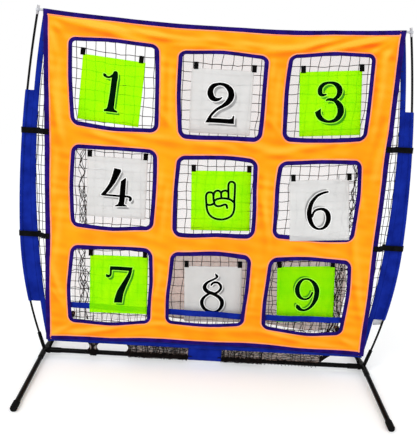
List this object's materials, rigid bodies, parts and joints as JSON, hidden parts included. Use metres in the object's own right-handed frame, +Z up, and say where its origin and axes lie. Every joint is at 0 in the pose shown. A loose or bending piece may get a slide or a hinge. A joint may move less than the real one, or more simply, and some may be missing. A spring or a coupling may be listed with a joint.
{
  "type": "pitching target net",
  "caption": "Bow-frame pitching net with an orange banner of square openings, numbered cards hung behind them and a ball pocket along the bottom.",
  "frame": {"origin": "on the floor, at the middle of the cross tube between the two corner brackets", "axes": "+Z up, +X along the cross tube to the right as seen by the player, -Y towards the player"},
  "size_m": [1.7404, 0.961, 1.5691],
  "materials": {
    "steel_black": "satin",
    "rubber_black": "matt",
    "fibre_black": "satin",
    "metal_grey": "satin",
    "elastic_grey": "woven",
    "cord_brown": "knotted cord",
    "royal_blue": "woven, slight sheen",
    "navy_blue": "woven tape",
    "orange": "woven, slight sheen",
    "strap_black": "hook and loop tape",
    "lime": "woven, printed",
    "off_white": "woven, printed"
  },
  "bodies": {
    "stand": {"cross_tube_left": "steel_black", "cross_tube_right": "steel_black", "cross_tube_joiner": "steel_black", "corner_bracket_left": "steel_black", "corner_bracket_right": "steel_black", "leg_front_left": "steel_black", "leg_front_right": "steel_black", "leg_rear_left": "steel_black", "leg_rear_right": "steel_black", "foot_cap_front_left": "rubber_black", "foot_cap_front_right": "rubber_black", "foot_cap_rear_left": "rubber_black", "foot_cap_rear_right": "rubber_black", "pole_lower_left": "fibre_black", "pole_lower_right": "fibre_black", "pole_middle_left": "fibre_black", "pole_middle_right": "fibre_black", "pole_upper_left": "fibre_black", "pole_upper_right": "fibre_black", "pole_ferrules_left": "metal_grey", "pole_ferrules_right": "metal_grey", "pole_tip_left": "metal_grey", "pole_tip_right": "metal_grey", "corner_loop_left": "elastic_grey", "corner_loop_right": "elastic_grey", "main_net": "cord_brown", "net_side_band_left": "royal_blue", "net_side_band_right": "royal_blue", "net_top_band": "royal_blue", "net_bottom_hem": "royal_blue", "net_skirt": "cord_brown", "centre_sleeve": "royal_blue", "side_sleeve_left": "royal_blue", "side_sleeve_right": "royal_blue", "pocket_net": "cord_brown", "pocket_band": "royal_blue", "target_banner": "orange", "banner_edge_binding": "navy_blue", "opening_bindings": "navy_blue", "banner_ties": "navy_blue", "side_straps": "strap_black", "corner_straps": "strap_black"},
    "card_1": {"card_1": "lime", "card_tabs_1": "strap_black"},
    "card_2": {"card_2": "off_white", "card_tabs_2": "strap_black"},
    "card_3": {"card_3": "lime", "card_tabs_3": "strap_black"},
    "card_4": {"card_4": "off_white", "card_tabs_4": "strap_black"},
    "card_5": {"card_5": "lime", "card_tabs_5": "strap_black"},
    "card_6": {"card_6": "off_white", "card_tabs_6": "strap_black"},
    "card_7": {"card_7": "lime", "card_tabs_7": "strap_black"},
    "card_8": {"card_8": "off_white", "card_tabs_8": "strap_black"},
    "card_9": {"card_9": "lime", "card_tabs_9": "strap_black"}
  },
  "joints": [
    {"name": "card_1_swing", "type": "hinge", "parent": "stand", "child": "card_1", "pos_m": [-0.453, -0.001, 1.39735], "axis": [-0.9965, 0, 0.0833], "range_deg": [0, 100]},
    {"name": "card_2_swing", "type": "hinge", "parent": "stand", "child": "card_2", "pos_m": [0.003, -0.001, 1.37843], "axis": [-1, 0, -0.0006], "range_deg": [0, 100]},
    {"name": "card_3_swing", "type": "hinge", "parent": "stand", "child": "card_3", "pos_m": [0.456, -0.001, 1.39768], "axis": [-0.9965, 0, -0.0841], "range_deg": [0, 100]},
    {"name": "card_4_swing", "type": "hinge", "parent": "stand", "child": "card_4", "pos_m": [-0.432, -0.001, 0.98224], "axis": [-1, 0, 0.0091], "range_deg": [0, 75]},
    {"name": "card_5_swing", "type": "hinge", "parent": "stand", "child": "card_5", "pos_m": [0.023, -0.001, 0.94914], "axis": [-0.9992, 0, -0.0393], "range_deg": [0, 100]},
    {"name": "card_6_swing", "type": "hinge", "parent": "stand", "child": "card_6", "pos_m": [0.454, -0.001, 0.93503], "axis": [-0.9968, 0, -0.08], "range_deg": [0, 90]},
    {"name": "card_7_swing", "type": "hinge", "parent": "stand", "child": "card_7", "pos_m": [-0.416, -0.001, 0.53536], "axis": [-0.9999, 0, -0.0168], "range_deg": [0, 75]},
    {"name": "card_8_swing", "type": "hinge", "parent": "stand", "child": "card_8", "pos_m": [0.013, -0.001, 0.50882], "axis": [-0.999, 0, -0.0457], "range_deg": [0, 3.2]},
    {"name": "card_9_swing", "type": "hinge", "parent": "stand", "child": "card_9", "pos_m": [0.436, -0.001, 0.53376], "axis": [-0.9974, 0, -0.072], "range_deg": [0, 3.2]}
  ]
}
